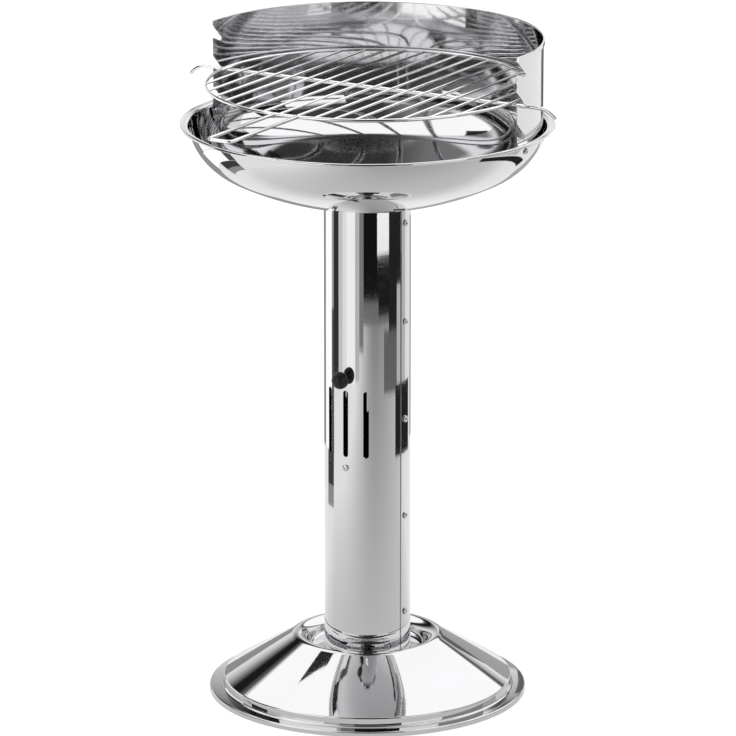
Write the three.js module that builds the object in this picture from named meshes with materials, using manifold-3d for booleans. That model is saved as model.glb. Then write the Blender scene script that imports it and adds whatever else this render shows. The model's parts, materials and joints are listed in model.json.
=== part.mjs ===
// Charcoal barbecue on a round pedestal: pressed base, two-shell column used as a chimney,
// dished bowl, half-round wind shield with three grate heights, and two wire grates.
// Millimetres, +Z up, front towards -Y, origin at the middle of the bounding box at the ground.
import * as THREE from "three";
import { mergeVertices } from "three/addons/utils/BufferGeometryUtils.js";
import Module from "manifold-3d";

const wasm = await Module();
wasm.setup();

// Driving dimensions

// Clearances shared by all pieces
const seatGap = 0.3;
const runGap = 0.4;
const cutOverrun = 3;
const weldSink = 0.6;

// Base, pressed from one sheet
const baseSheet = 1.2;
const baseRadius = 185.8;
const baseLipHeight = 6;
const baseLipCorner = 1.6;
const stepRadius = 169;
const stepHeight = 11;
const stepCorner = 2.4;
const coneSlope = 31.6;
const crestRadius = 13.6;
const crestTop = 68;
const wellDepth = 17;
const wellCorner = 5;
const baseHoleRadius = 30;

// Column, two half shells lapped and screwed along both sides
const columnSheet = 1;
const columnRadius = 50.5;
const columnTop = 589.2;
const lapHalfWidth = 7.6;
const lapStepLength = 1.8;
const lapEdgeGap = 0.5;
const seamScrewCount = 5;
const seamTopMargin = 20.2;
const seamBottomMargin = 49.7;

// Tabs bent inwards at both ends of the shells
const tabWidth = 18;
const tabReach = 16;
const tabFromFront = 45;
const tabBoltInset = 9;

// Air damper in the front of the column
const ventCount = 3;
const ventSpacing = 28.3;
const ventWidth = 6.6;
const ventBottom = 294;
const ventHeight = 80;
const damperSheet = 0.8;
const damperTurn = 14;
const damperEdgeWidth = 7;
const ventToKnobHeight = 15;
const knobRadius = 10;
const knobStandOff = 1.2;
const knobNeckRadius = 5;
const knobNeckLength = 2.5;
const knobBoreDepth = 9;
const studRadius = 2.4;
const studHeadRadius = 4.2;
const studHeadHeight = 1.6;
const ventToGuideHeight = 13;

// Bowl, a shallow dish with a flat seat and a beaded rim
const bowlSheet = 1;
const seatRadius = 57;
const flueRadius = 27;
const crownRadius = 367;
const knuckleRadius = 80.4;
const knuckleCentre = 128.5;
const wallLean = 12.5;
const rimFillet = 3;
const rimFlangeWidth = 6.1;
const rimBead = 1.9;

// Wind shield, a half-round sheet with three notches in each front edge
const shieldSheet = 1;
const shieldInset = 2.9;
const shieldSkirt = 8.2;
const shieldHeight = 112;
const shieldFront = -11;
const hemHeight = 5.5;
const hemFold = 1.6;
const hemCorner = 0.5;
const notchCount = 3;
const notchPitch = 36;
const notchFirstHeight = 16;
const notchPlay = 0.35;
const notchMouth = 16.2;
const notchSlope = 21;
const shieldTabAngle = 91;
const shieldTabWidth = 28;
const shieldTabFoot = 24.5;
const shieldTabScrew = 18;
const shieldTabBend = 13;
const shieldSlitWidth = 1.5;

// Cooking grate, one welded wire piece hung in the middle notches
const grateCentreY = 6;
const grateRingRadius = 189;
const grateRingWire = 2;
const grateWire = 1.5;
const grateWireCount = 18;
const grateWirePitch = 22;
const hangBar = 2.25;
const hangBarReach = 242;
const hangBarEndBend = 20;
const hangBarEndDrop = 10;
const handleWire = 2;
const handleHalfWidth = 15;
const handleReach = 326;
const handleCorner = 7;

// Charcoal grate, lying on the dish of the bowl
const coalRingRadius = 103;
const coalRingWire = 2;
const coalWire = 1.75;
const coalWireCount = 11;
const coalWirePitch = 17;

// Fasteners
const smallScrew = { shank: 2, head: 3.9, headHeight: 2.2, nutFlat: 7, nutHeight: 3.2, tail: 1 };
const largeScrew = { shank: 2.5, head: 4.8, headHeight: 2.8, nutFlat: 8, nutHeight: 4, tail: 1.2 };
const holePlay = 0.4;

// Facets
const roundSteps = 36;
const arcSteps = 5;
const filletSteps = 2;
const wireSides = 6;
const fastenerSides = 8;
const nutSides = 6;

const degree = Math.PI / 180;
const upAxis = new THREE.Vector3(0, 0, 1);

// Geometry helpers

// A point on the circle of the given radius, its angle counted from the front towards +X.
function plan(radius, fromFront) {
  return new THREE.Vector2(radius * Math.sin(fromFront), -radius * Math.cos(fromFront));
}

function planArc(radius, from, to, steps) {
  return Array.from({ length: steps + 1 }, (_, i) => plan(radius, from + ((to - from) * i) / steps));
}

function profileArc(centreR, centreZ, radius, from, to, steps) {
  return Array.from({ length: steps + 1 }, (_, i) => {
    const angle = from + ((to - from) * i) / steps;
    return new THREE.Vector2(centreR + radius * Math.cos(angle), centreZ + radius * Math.sin(angle));
  });
}

function toSolid(geometry) {
  const bare = new THREE.BufferGeometry();
  bare.setAttribute("position", geometry.getAttribute("position"));
  bare.setIndex(geometry.getIndex());
  const merged = mergeVertices(bare);
  const index = merged.getIndex().array;
  const triVerts = [];
  for (let i = 0; i < index.length; i += 3) {
    const [a, b, c] = [index[i], index[i + 1], index[i + 2]];
    if (a !== b && b !== c && c !== a) triVerts.push(a, b, c);
  }
  return new wasm.Manifold(
    new wasm.Mesh({
      numProp: 3,
      vertProperties: new Float32Array(merged.getAttribute("position").array),
      triVerts: new Uint32Array(triVerts),
    }),
  );
}

function toGeometry(solid) {
  const mesh = solid.getMesh();
  const geometry = new THREE.BufferGeometry();
  geometry.setAttribute("position", new THREE.BufferAttribute(new Float32Array(mesh.vertProperties), 3));
  geometry.setIndex(new THREE.BufferAttribute(new Uint32Array(mesh.triVerts), 1));
  geometry.computeVertexNormals();
  return geometry;
}

function join(geometries) {
  return geometries.map(toSolid).reduce((sum, next) => sum.add(next));
}

function cut(solid, geometries) {
  return geometries.map(toSolid).reduce((rest, next) => rest.subtract(next), solid);
}

// Revolves a closed profile of (radius, height) points about Z.
function revolve(points, steps) {
  const profile = THREE.ShapeUtils.isClockWise(points) ? [...points].reverse() : [...points];
  const onAxis = profile.some((point) => point.x === 0);
  if (!onAxis) profile.push(profile[0].clone());
  return new THREE.LatheGeometry(profile, steps).rotateX(Math.PI / 2);
}

// Sweeps a closed profile of (radius, height) points about Z through part of a turn.
function sweepSector(points, from, to, steps) {
  const profile = THREE.ShapeUtils.isClockWise(points) ? [...points].reverse() : points;
  const count = profile.length;
  const positions = [];
  for (let i = 0; i <= steps; i += 1) {
    const angle = from + ((to - from) * i) / steps;
    for (const point of profile) {
      const spot = plan(point.x, angle);
      positions.push(spot.x, spot.y, point.y);
    }
  }
  const index = [];
  for (let i = 0; i < steps; i += 1) {
    for (let j = 0; j < count; j += 1) {
      const k = (j + 1) % count;
      const [a, b] = [i * count + j, i * count + k];
      const [c, d] = [a + count, b + count];
      index.push(a, c, b, b, c, d);
    }
  }
  const last = steps * count;
  for (const [a, b, c] of THREE.ShapeUtils.triangulateShape(profile, [])) {
    index.push(a, b, c);
    index.push(last + a, last + c, last + b);
  }
  const geometry = new THREE.BufferGeometry();
  geometry.setAttribute("position", new THREE.Float32BufferAttribute(positions, 3));
  geometry.setIndex(index);
  return geometry;
}

function extrudeUp(points, bottom, top, holes = []) {
  const shape = new THREE.Shape(points);
  shape.holes = holes.map((hole) => new THREE.Path(hole));
  const options = { depth: top - bottom, bevelEnabled: false };
  return new THREE.ExtrudeGeometry(shape, options).translate(0, 0, bottom);
}

function circle(radius, sides) {
  return Array.from({ length: sides }, (_, i) => plan(radius, ((i + 0.5) * 2 * Math.PI) / sides));
}

// A round wire along a path, closed at both ends.
function wireAlong(path, radius, steps, sides = wireSides) {
  const options = { steps, extrudePath: path, bevelEnabled: false };
  return new THREE.ExtrudeGeometry(new THREE.Shape(circle(radius, sides)), options);
}

function straightWire(from, to, radius, sides = wireSides) {
  const length = from.distanceTo(to);
  const turn = new THREE.Quaternion().setFromUnitVectors(
    new THREE.Vector3(0, 1, 0),
    to.clone().sub(from).normalize(),
  );
  const middle = from.clone().add(to).multiplyScalar(0.5);
  return new THREE.CylinderGeometry(radius, radius, length, sides)
    .applyQuaternion(turn)
    .translate(middle.x, middle.y, middle.z);
}

function ringWire(radius, wire, steps) {
  return new THREE.TorusGeometry(radius, wire, wireSides, steps);
}

// A cutter whose axis is square to the column at the given angle and height.
function radialPin(radius, fromFront, height, inner, outer, sides = fastenerSides) {
  const near = plan(inner, fromFront);
  const far = plan(outer, fromFront);
  return straightWire(
    new THREE.Vector3(near.x, near.y, height),
    new THREE.Vector3(far.x, far.y, height),
    radius,
    sides,
  );
}

// Upright slot with round ends, cut square to the column.
function uprightSlot(width, fromFront, bottom, top, inner, outer) {
  const half = width / 2;
  const centre = plan((inner + outer) / 2, fromFront);
  const middle = new THREE.BoxGeometry(outer - inner, width, top - bottom - width)
    .rotateZ(fromFront - Math.PI / 2)
    .translate(centre.x, centre.y, (bottom + top) / 2);
  const ends = [bottom + half, top - half].map((height) => radialPin(half, fromFront, height, inner, outer));
  return toGeometry(join([middle, ...ends]));
}

// Level slot with round ends that follows the wall of the column.
function levelSlot(halfHeight, from, to, height, inner, outer) {
  const outline = [...planArc(outer, from, to, arcSteps), ...planArc(inner, to, from, arcSteps)];
  const middle = extrudeUp(outline, height - halfHeight, height + halfHeight);
  const ends = [from, to].map((angle) => radialPin(halfHeight, angle, height, inner, outer));
  return toGeometry(join([middle, ...ends]));
}

// Screw with a domed head, standing head up with the seat of the head at height zero.
function screwGeometry(size, grip) {
  const crownShare = 0.6;
  const edgeShare = 0.35;
  const length = grip + size.nutHeight + size.tail;
  const profile = [
    [0, size.headHeight],
    [size.head * crownShare, size.headHeight],
    [size.head, size.headHeight * edgeShare],
    [size.head, 0],
    [size.shank, 0],
    [size.shank, -length],
    [0, -length],
  ];
  return revolve(profile.map(([r, z]) => new THREE.Vector2(r, z)), fastenerSides);
}

function nutGeometry(size) {
  const cornerRadius = size.nutFlat / 2 / Math.cos(Math.PI / nutSides);
  const hole = circle((size.shank + seatGap) / Math.cos(Math.PI / nutSides), nutSides);
  return extrudeUp(circle(cornerRadius, nutSides), -size.nutHeight, 0, [hole]);
}

// Materials
const polished = new THREE.MeshStandardMaterial({ color: 0xc9cacc, roughness: 0.08, metalness: 1 });
const chromed = new THREE.MeshStandardMaterial({ color: 0xd6d7d9, roughness: 0.16, metalness: 1 });
const coalWireSteel = new THREE.MeshStandardMaterial({ color: 0xa9abae, roughness: 0.35, metalness: 1 });
const zinc = new THREE.MeshStandardMaterial({ color: 0xbcbec0, roughness: 0.3, metalness: 1 });
const blackPlastic = new THREE.MeshStandardMaterial({ color: 0x121213, roughness: 0.35, metalness: 0 });

const barbecue = new THREE.Group();

function addPiece(name, shape, material, parent = barbecue) {
  const geometry = shape.isBufferGeometry ? shape : toGeometry(shape);
  const mesh = new THREE.Mesh(geometry, material);
  mesh.name = name;
  parent.add(mesh);
  return mesh;
}

// Puts a piece made about +Z so that its zero height is at the point and its top looks along the direction.
function aim(mesh, point, direction) {
  mesh.position.copy(point);
  mesh.quaternion.setFromUnitVectors(upAxis, direction);
  return mesh;
}

// A screw whose head sits on one face and whose nut sits on the other, a grip apart.
function addScrewAndNut(screwName, nutName, size, headSeat, direction, grip) {
  aim(addPiece(screwName, screwGeometry(size, grip), zinc), headSeat, direction);
  const nutSeat = headSeat.clone().addScaledVector(direction, -grip);
  aim(addPiece(nutName, nutGeometry(size), zinc), nutSeat, direction);
}

// Base
const coneTilt = coneSlope * degree;
const wellFloor = crestTop - wellDepth;
const crestCentreZ = crestTop - crestRadius;
const stepTopZ = baseLipHeight + stepHeight;

// The crest is placed so that its tangent runs down the cone to the top of the step.
const crestTangentDrop = crestCentreZ + crestRadius * Math.cos(coneTilt) - stepTopZ;
const crestCentreR = stepRadius - crestTangentDrop / Math.tan(coneTilt) - crestRadius * Math.sin(coneTilt);
const wellWallR = crestCentreR - crestRadius;

function baseSide(inset) {
  const crest = crestRadius - inset;
  const floorFillet = wellCorner + inset;
  const stepFillet = stepCorner + inset;
  const knee = stepCorner - inset;
  const lipCorner = baseLipCorner - inset;
  const floorCentreR = wellWallR - wellCorner;
  const kneeTurn = Math.PI / 2 - coneTilt;
  const kneeSetback = stepCorner * Math.tan(kneeTurn / 2);
  const kneeCentreR = stepRadius - stepCorner;
  const kneeCentreZ = stepTopZ - kneeSetback;
  const stepFootR = stepRadius + stepCorner;
  const lipCentreR = baseRadius - baseLipCorner;
  return [
    new THREE.Vector2(baseHoleRadius, wellFloor - inset),
    ...profileArc(floorCentreR, wellFloor + wellCorner, floorFillet, -Math.PI / 2, 0, filletSteps),
    ...profileArc(crestCentreR, crestCentreZ, crest, Math.PI, Math.PI / 2 - coneTilt, arcSteps),
    ...profileArc(kneeCentreR, kneeCentreZ, knee, Math.PI / 2 - coneTilt, 0, filletSteps),
    ...profileArc(stepFootR, baseLipHeight + stepCorner, stepFillet, Math.PI, 1.5 * Math.PI, filletSteps),
    ...profileArc(lipCentreR, baseLipHeight - baseLipCorner, lipCorner, Math.PI / 2, 0, filletSteps),
    new THREE.Vector2(baseRadius - inset, 0),
  ];
}

const frontTabAngle = tabFromFront * degree;
const tabAngles = [-frontTabAngle, frontTabAngle, Math.PI - frontTabAngle, Math.PI + frontTabAngle];
const tabBoltRadius = columnRadius - tabBoltInset;
const boltHole = largeScrew.shank + holePlay;

function uprightPin(radius, centre, bottom, top) {
  const from = new THREE.Vector3(centre.x, centre.y, bottom);
  return straightWire(from, new THREE.Vector3(centre.x, centre.y, top), radius, fastenerSides);
}

const baseOutline = [...baseSide(0), ...baseSide(baseSheet).reverse()];
const baseHoles = tabAngles.map((angle) =>
  uprightPin(boltHole, plan(tabBoltRadius, angle), wellFloor - baseSheet - seatGap, wellFloor + seatGap),
);
addPiece("base_foot", cut(toSolid(revolve(baseOutline, roundSteps)), baseHoles), polished);

// Column shells
const columnBottom = wellFloor + seatGap;
const lapInnerRadius = columnRadius - columnSheet - seatGap;
const lapAngle = lapHalfWidth / columnRadius;
const rearEdge = Math.PI / 2 - lapAngle;
const frontLipEnd = Math.PI / 2 + lapAngle;
const frontStepEnd = rearEdge - lapEdgeGap / columnRadius;
const frontStepStart = frontStepEnd - lapStepLength / columnRadius;

const shellInner = columnRadius - 2 * columnSheet - seatGap - cutOverrun;
const shellOuter = columnRadius + cutOverrun;
const columnSteps = 4 * arcSteps;

function frontSide(inset) {
  const main = planArc(columnRadius - inset, -frontStepStart, frontStepStart, columnSteps);
  const lip = planArc(lapInnerRadius - inset, frontStepEnd, frontLipEnd, filletSteps);
  const otherLip = planArc(lapInnerRadius - inset, -frontLipEnd, -frontStepEnd, filletSteps);
  return [...otherLip, ...main, ...lip];
}

function rearSide(inset) {
  return planArc(columnRadius - inset, rearEdge, 2 * Math.PI - rearEdge, columnSteps);
}

// A flat tab bent inwards from the end of a shell.
function endTab(angle, bottom) {
  const outerEnd = columnRadius - columnSheet / 2;
  const centre = plan(outerEnd - tabReach / 2, angle);
  return new THREE.BoxGeometry(tabReach, tabWidth, columnSheet)
    .rotateZ(angle - Math.PI / 2)
    .translate(centre.x, centre.y, bottom + columnSheet / 2);
}

function shell(side, angles) {
  const outline = [...side(0), ...side(columnSheet).reverse()];
  const topTab = columnTop - columnSheet;
  const tabs = angles.flatMap((angle) => [endTab(angle, columnBottom), endTab(angle, topTab)]);
  const [low, high] = [columnBottom - cutOverrun, columnTop + cutOverrun];
  const bolts = angles.map((angle) => uprightPin(boltHole, plan(tabBoltRadius, angle), low, high));
  return cut(join([extrudeUp(outline, columnBottom, columnTop), ...tabs]), bolts);
}

const seamScrewTop = columnTop - seamTopMargin;
const seamScrewPitch = (seamScrewTop - columnBottom - seamBottomMargin) / (seamScrewCount - 1);
const seamScrewHeights = Array.from({ length: seamScrewCount }, (_, i) => seamScrewTop - i * seamScrewPitch);
const seamSides = { right: Math.PI / 2, left: -Math.PI / 2 };
const seamHoles = Object.values(seamSides).flatMap((angle) =>
  seamScrewHeights.map((height) =>
    radialPin(smallScrew.shank + holePlay, angle, height, shellInner, shellOuter, fastenerSides),
  ),
);

const ventAngles = Array.from(
  { length: ventCount },
  (_, i) => (i - (ventCount - 1) / 2) * ventSpacing * degree,
);
const ventTop = ventBottom + ventHeight;
const ventSlots = ventAngles.map((angle) =>
  uprightSlot(ventWidth, angle, ventBottom, ventTop, shellInner, shellOuter),
);
const knobHeight = ventTop + ventToKnobHeight;
const guideHeight = ventBottom - ventToGuideHeight;
const turn = damperTurn * degree;
const studSlot = levelSlot(studRadius + holePlay, -turn, 0, knobHeight, shellInner, shellOuter);
const guideHole = radialPin(smallScrew.shank + holePlay, 0, guideHeight, shellInner, shellOuter);

const frontShell = cut(shell(frontSide, tabAngles.slice(0, 2)), [
  ...seamHoles,
  ...ventSlots,
  studSlot,
  guideHole,
]);
addPiece("column_front_shell", frontShell, polished);
addPiece("column_rear_shell", cut(shell(rearSide, tabAngles.slice(2)), seamHoles), polished);

// Seam screws go through both shells, with a nut inside
function chordDrop(radius, halfWidth) {
  return radius - Math.sqrt(radius * radius - halfWidth * halfWidth);
}

const lipInnerRadius = lapInnerRadius - columnSheet;
const seamNutRadius = lipInnerRadius - chordDrop(lipInnerRadius, smallScrew.nutFlat / 2) - seatGap;
const seamHeadRadius = columnRadius + seatGap;
for (const [side, angle] of Object.entries(seamSides)) {
  seamScrewHeights.forEach((height, i) => {
    const out = plan(1, angle);
    const direction = new THREE.Vector3(out.x, out.y, 0);
    const seat = direction.clone().multiplyScalar(seamHeadRadius).setZ(height);
    const names = [`seam_screw_${side}_${i + 1}`, `seam_nut_${side}_${i + 1}`];
    addScrewAndNut(...names, smallScrew, seat, direction, seamHeadRadius - seamNutRadius);
  });
}

// Bolts that hold the base to the bottom tabs, put in from below
const baseBoltSeat = wellFloor - baseSheet - seatGap;
const baseNutSeat = columnBottom + columnSheet + seatGap;
const down = new THREE.Vector3(0, 0, -1);
tabAngles.forEach((angle, i) => {
  const spot = plan(tabBoltRadius, angle);
  const seat = new THREE.Vector3(spot.x, spot.y, baseBoltSeat);
  const names = [`base_bolt_${i + 1}`, `base_nut_${i + 1}`];
  addScrewAndNut(...names, largeScrew, seat, down, baseNutSeat - baseBoltSeat);
});

// Damper, a curved plate turned about the column by its knob
const damperOuter = columnRadius - columnSheet - runGap;
const damperInner = damperOuter - damperSheet;
const outerVentAngle = ventAngles[ventCount - 1];
const damperReach = outerVentAngle + turn + (ventWidth / 2 + damperEdgeWidth) / columnRadius;
const damperOutline = [
  ...planArc(damperOuter, -damperReach, damperReach, 2 * arcSteps),
  ...planArc(damperInner, damperReach, -damperReach, 2 * arcSteps),
];
const damperCuts = [
  ...ventSlots,
  radialPin(studRadius + seatGap, 0, knobHeight, shellInner, shellOuter),
  levelSlot(smallScrew.shank + holePlay, 0, turn, guideHeight, shellInner, shellOuter),
];
const damperPlate = extrudeUp(damperOutline, guideHeight - damperEdgeWidth, knobHeight + damperEdgeWidth);
const damper = new THREE.Group();
barbecue.add(damper);
addPiece("damper_plate", cut(toSolid(damperPlate), damperCuts), polished, damper);

const front = new THREE.Vector3(0, -1, 0);
const knobFoot = columnRadius + knobStandOff;
const knobCentre = knobNeckLength + Math.sqrt(knobRadius * knobRadius - knobNeckRadius * knobNeckRadius);
const knobBore = studRadius + seatGap;
const neckAngle = -Math.acos(knobNeckRadius / knobRadius);
const knobProfile = [
  new THREE.Vector2(0, knobBoreDepth),
  new THREE.Vector2(knobBore, knobBoreDepth),
  new THREE.Vector2(knobBore, 0),
  new THREE.Vector2(knobNeckRadius, 0),
  ...profileArc(0, knobCentre, knobRadius, neckAngle, Math.PI / 2, arcSteps).slice(0, -1),
  new THREE.Vector2(0, knobCentre + knobRadius),
];
const knobFootPoint = new THREE.Vector3(0, -knobFoot, knobHeight);
const knobGeometry = revolve(knobProfile, 2 * arcSteps);
aim(addPiece("damper_knob", knobGeometry, blackPlastic, damper), knobFootPoint, front);

const studTip = knobFoot + knobBoreDepth - seatGap;
const studHeadSeat = damperInner - chordDrop(damperInner, studHeadRadius) - seatGap;
const studProfile = [
  new THREE.Vector2(0, -studHeadHeight),
  new THREE.Vector2(studHeadRadius, -studHeadHeight),
  new THREE.Vector2(studHeadRadius, 0),
  new THREE.Vector2(studRadius, 0),
  new THREE.Vector2(studRadius, studTip - studHeadSeat),
  new THREE.Vector2(0, studTip - studHeadSeat),
];
const studSeat = new THREE.Vector3(0, -studHeadSeat, knobHeight);
aim(addPiece("damper_stud", revolve(studProfile, fastenerSides), zinc, damper), studSeat, front);

const guideNutRadius = damperInner - chordDrop(damperInner, smallScrew.nutFlat / 2) - runGap;
const guideSeat = new THREE.Vector3(0, -seamHeadRadius, guideHeight);
const guideNames = ["damper_guide_screw", "damper_guide_nut"];
addScrewAndNut(...guideNames, smallScrew, guideSeat, front, seamHeadRadius - guideNutRadius);

// Bowl
const bowlSeatZ = columnTop + seatGap;
const crownCentreZ = bowlSeatZ + Math.sqrt(crownRadius * crownRadius - seatRadius * seatRadius);
const knuckleDistance = crownRadius - knuckleRadius;
const knuckleCentreZ = crownCentreZ - Math.sqrt(knuckleDistance ** 2 - knuckleCentre ** 2);
const knuckleStart = Math.atan2(knuckleCentreZ - crownCentreZ, knuckleCentre);
const knuckleEnd = -wallLean * degree;
const filletStart = Math.PI + knuckleEnd;
const filletCentreR = knuckleCentre + (knuckleRadius + rimFillet) * Math.cos(knuckleEnd);
const filletCentreZ = knuckleCentreZ + (knuckleRadius + rimFillet) * Math.sin(knuckleEnd);

function bowlSide(inset) {
  const seatZ = bowlSeatZ + inset;
  const crown = crownRadius - inset;
  const knuckle = knuckleRadius - inset;
  const fillet = rimFillet + inset;
  const crownStart = -Math.asin((crownCentreZ - seatZ) / crown);
  return [
    new THREE.Vector2(flueRadius, seatZ),
    ...profileArc(0, crownCentreZ, crown, crownStart, knuckleStart, 2 * filletSteps),
    ...profileArc(knuckleCentre, knuckleCentreZ, knuckle, knuckleStart, knuckleEnd, arcSteps).slice(1),
    ...profileArc(filletCentreR, filletCentreZ, fillet, filletStart, Math.PI / 2, filletSteps).slice(1),
  ];
}

const rimRadius = filletCentreR + rimFlangeWidth;
const beadCentreR = rimRadius - rimBead;
const beadCentreZ = filletCentreZ + rimFillet + bowlSheet / 2;
const beadOpening = Math.asin(bowlSheet / 2 / rimBead);
const beadArc = profileArc(
  beadCentreR,
  beadCentreZ,
  rimBead,
  beadOpening - Math.PI,
  Math.PI - beadOpening,
  arcSteps,
);
const bowlOutline = [...bowlSide(0), ...beadArc, ...bowlSide(bowlSheet).reverse()];
const bowlBoltHoles = tabAngles.map((angle) =>
  uprightPin(boltHole, plan(tabBoltRadius, angle), bowlSeatZ - seatGap, bowlSeatZ + bowlSheet + seatGap),
);

// A point and an outward direction on the knuckle of the bowl, at an angle in degrees below level.
function onKnuckle(radius, below, fromFront) {
  const angle = below * degree;
  const reach = plan(knuckleCentre + radius * Math.cos(angle), fromFront);
  const out = plan(Math.cos(angle), fromFront);
  return {
    point: new THREE.Vector3(reach.x, reach.y, knuckleCentreZ - radius * Math.sin(angle)),
    direction: new THREE.Vector3(out.x, out.y, -Math.sin(angle)),
  };
}

// The bowl's facets stand inside its true round by this much at the shield tabs.
const bowlFacetSag = rimRadius * (1 - Math.cos(Math.PI / roundSteps));
const shieldTabOuter = knuckleRadius - bowlSheet - seatGap - bowlFacetSag;

const shieldTabs = {
  right: shieldTabAngle * degree,
  left: -shieldTabAngle * degree,
  rear: Math.PI,
};
const shieldHoleRadius = smallScrew.shank + holePlay;
const shieldScrewHoles = Object.values(shieldTabs).map((angle) => {
  const inner = onKnuckle(knuckleRadius - bowlSheet - shieldSheet - cutOverrun, shieldTabScrew, angle);
  const outer = onKnuckle(knuckleRadius + cutOverrun, shieldTabScrew, angle);
  return straightWire(inner.point, outer.point, shieldHoleRadius, fastenerSides);
});
const bowl = cut(toSolid(revolve(bowlOutline, roundSteps)), [...bowlBoltHoles, ...shieldScrewHoles]);
addPiece("bowl", bowl, polished);

// Bolts that hold the bowl to the top tabs, with their heads inside the bowl
const bowlBoltSeat = bowlSeatZ + bowlSheet + seatGap;
const bowlNutSeat = columnTop - columnSheet - seatGap;
tabAngles.forEach((angle, i) => {
  const spot = plan(tabBoltRadius, angle);
  const seat = new THREE.Vector3(spot.x, spot.y, bowlBoltSeat);
  const names = [`bowl_bolt_${i + 1}`, `bowl_nut_${i + 1}`];
  addScrewAndNut(...names, largeScrew, seat, upAxis, bowlBoltSeat - bowlNutSeat);
});

// Wind shield, placed inside the wall of the bowl where its tabs bend
const tabBendAngle = shieldTabBend * degree;
const shieldRadius = knuckleCentre + shieldTabOuter * Math.cos(tabBendAngle) - shieldInset;
const tabBendZ = knuckleCentreZ - shieldTabOuter * Math.sin(tabBendAngle);
const shieldBottom = tabBendZ - shieldSkirt;
const shieldTop = shieldBottom + shieldHeight;
const shieldInner = shieldRadius - shieldSheet;
const shieldEdge = Math.acos(-shieldFront / shieldRadius);
const hemRadius = shieldRadius + hemFold;
const shieldProfile = [
  [shieldInner, shieldBottom],
  [shieldRadius, shieldBottom],
  [shieldRadius, shieldTop - hemHeight],
  [hemRadius - hemCorner, shieldTop - hemHeight],
  [hemRadius, shieldTop - hemHeight + hemCorner],
  [hemRadius, shieldTop - hemCorner],
  [hemRadius - hemCorner, shieldTop],
  [shieldInner + hemCorner, shieldTop],
  [shieldInner, shieldTop - hemCorner],
].map(([r, z]) => new THREE.Vector2(r, z));
const shieldSheetBody = sweepSector(shieldProfile, shieldEdge, 2 * Math.PI - shieldEdge, 6 * arcSteps);

// A tab slit free of the lower edge bends out and lies against the wall of the bowl.
const tabHalfAngle = shieldTabWidth / 2 / shieldRadius;
const tabRootZ = tabBendZ + shieldInset;

function shieldTab(angle) {
  const inner = shieldTabOuter - shieldSheet;
  const [foot, bend] = [-shieldTabFoot * degree, -tabBendAngle];
  const profile = [
    ...profileArc(knuckleCentre, knuckleCentreZ, shieldTabOuter, foot, bend, filletSteps),
    new THREE.Vector2(shieldRadius, tabRootZ),
    new THREE.Vector2(shieldRadius, tabRootZ + shieldInset),
    new THREE.Vector2(shieldInner, tabRootZ + shieldInset),
    new THREE.Vector2(shieldInner, tabRootZ - shieldSheet / 2),
    ...profileArc(knuckleCentre, knuckleCentreZ, inner, bend, foot, filletSteps),
  ];
  return sweepSector(profile, angle - tabHalfAngle, angle + tabHalfAngle, filletSteps);
}

// The sheet is cut away behind a tab, up to where the tab leaves it.
function tabWindow(angle) {
  const [low, inner] = [shieldBottom - cutOverrun, shieldInner - cutOverrun];
  const outer = shieldRadius + cutOverrun;
  const profile = [[inner, low], [outer, low], [outer, tabRootZ], [inner, tabRootZ]];
  const half = tabHalfAngle + shieldSlitWidth / shieldRadius;
  const points = profile.map(([r, z]) => new THREE.Vector2(r, z));
  return sweepSector(points, angle - half, angle + half, filletSteps);
}

// A notch slopes down from the front edge to a round end that holds the bar of the cooking grate.
const notchEnd = hangBar + notchPlay;
const notchRun = grateCentreY - shieldFront + cutOverrun;
const slopeRise = Math.tan(notchSlope * degree);
const slopeAngle = notchSlope * degree;
const notchLowerLift = notchRun * slopeRise - notchEnd / Math.cos(slopeAngle);

function notchCutter(tipHeight) {
  const lowest = -Math.PI / 2 - slopeAngle;
  const roundEnd = profileArc(grateCentreY, tipHeight, notchEnd, lowest, Math.PI / 2, arcSteps);
  const outline = [
    ...roundEnd,
    new THREE.Vector2(grateCentreY - notchRun, tipHeight + notchLowerLift + notchMouth),
    new THREE.Vector2(grateCentreY - notchRun, tipHeight + notchLowerLift),
  ];
  const half = shieldRadius + hemFold + cutOverrun;
  const cutter = extrudeUp(outline, -half, half);
  // The outline has depth first and height second, so the cutter is turned to run along X.
  return cutter.rotateX(Math.PI / 2).rotateZ(Math.PI / 2);
}

const notchTipLowest = shieldBottom + notchFirstHeight;
const notchTips = Array.from({ length: notchCount }, (_, i) => notchTipLowest + i * notchPitch);
const tabPlaces = Object.values(shieldTabs);
const shieldBody = cut(toSolid(shieldSheetBody), tabPlaces.map(tabWindow));
const shieldJoined = shieldBody.add(join(tabPlaces.map(shieldTab)));
addPiece("wind_shield", cut(shieldJoined, [...notchTips.map(notchCutter), ...shieldScrewHoles]), polished);

const shieldHeadSeat = knuckleRadius + seatGap;
const shieldNutSeat = shieldTabOuter - shieldSheet - seatGap;
for (const [side, angle] of Object.entries(shieldTabs)) {
  const { point, direction } = onKnuckle(shieldHeadSeat, shieldTabScrew, angle);
  const names = [`shield_screw_${side}`, `shield_nut_${side}`];
  addScrewAndNut(...names, smallScrew, point, direction, shieldHeadSeat - shieldNutSeat);
}

// Charcoal grate
const coalRingDistance = crownRadius - bowlSheet - seatGap - coalRingWire;
const coalRingZ = crownCentreZ - Math.sqrt(coalRingDistance ** 2 - coalRingRadius ** 2);
const coalWireZ = coalRingZ + coalRingWire + coalWire - weldSink;

function parallelWires(count, pitch, ringRadius, wire, height) {
  return Array.from({ length: count }, (_, i) => {
    const x = (i - (count - 1) / 2) * pitch;
    const half = Math.sqrt(ringRadius * ringRadius - x * x);
    return straightWire(new THREE.Vector3(x, -half, height), new THREE.Vector3(x, half, height), wire);
  });
}

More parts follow.
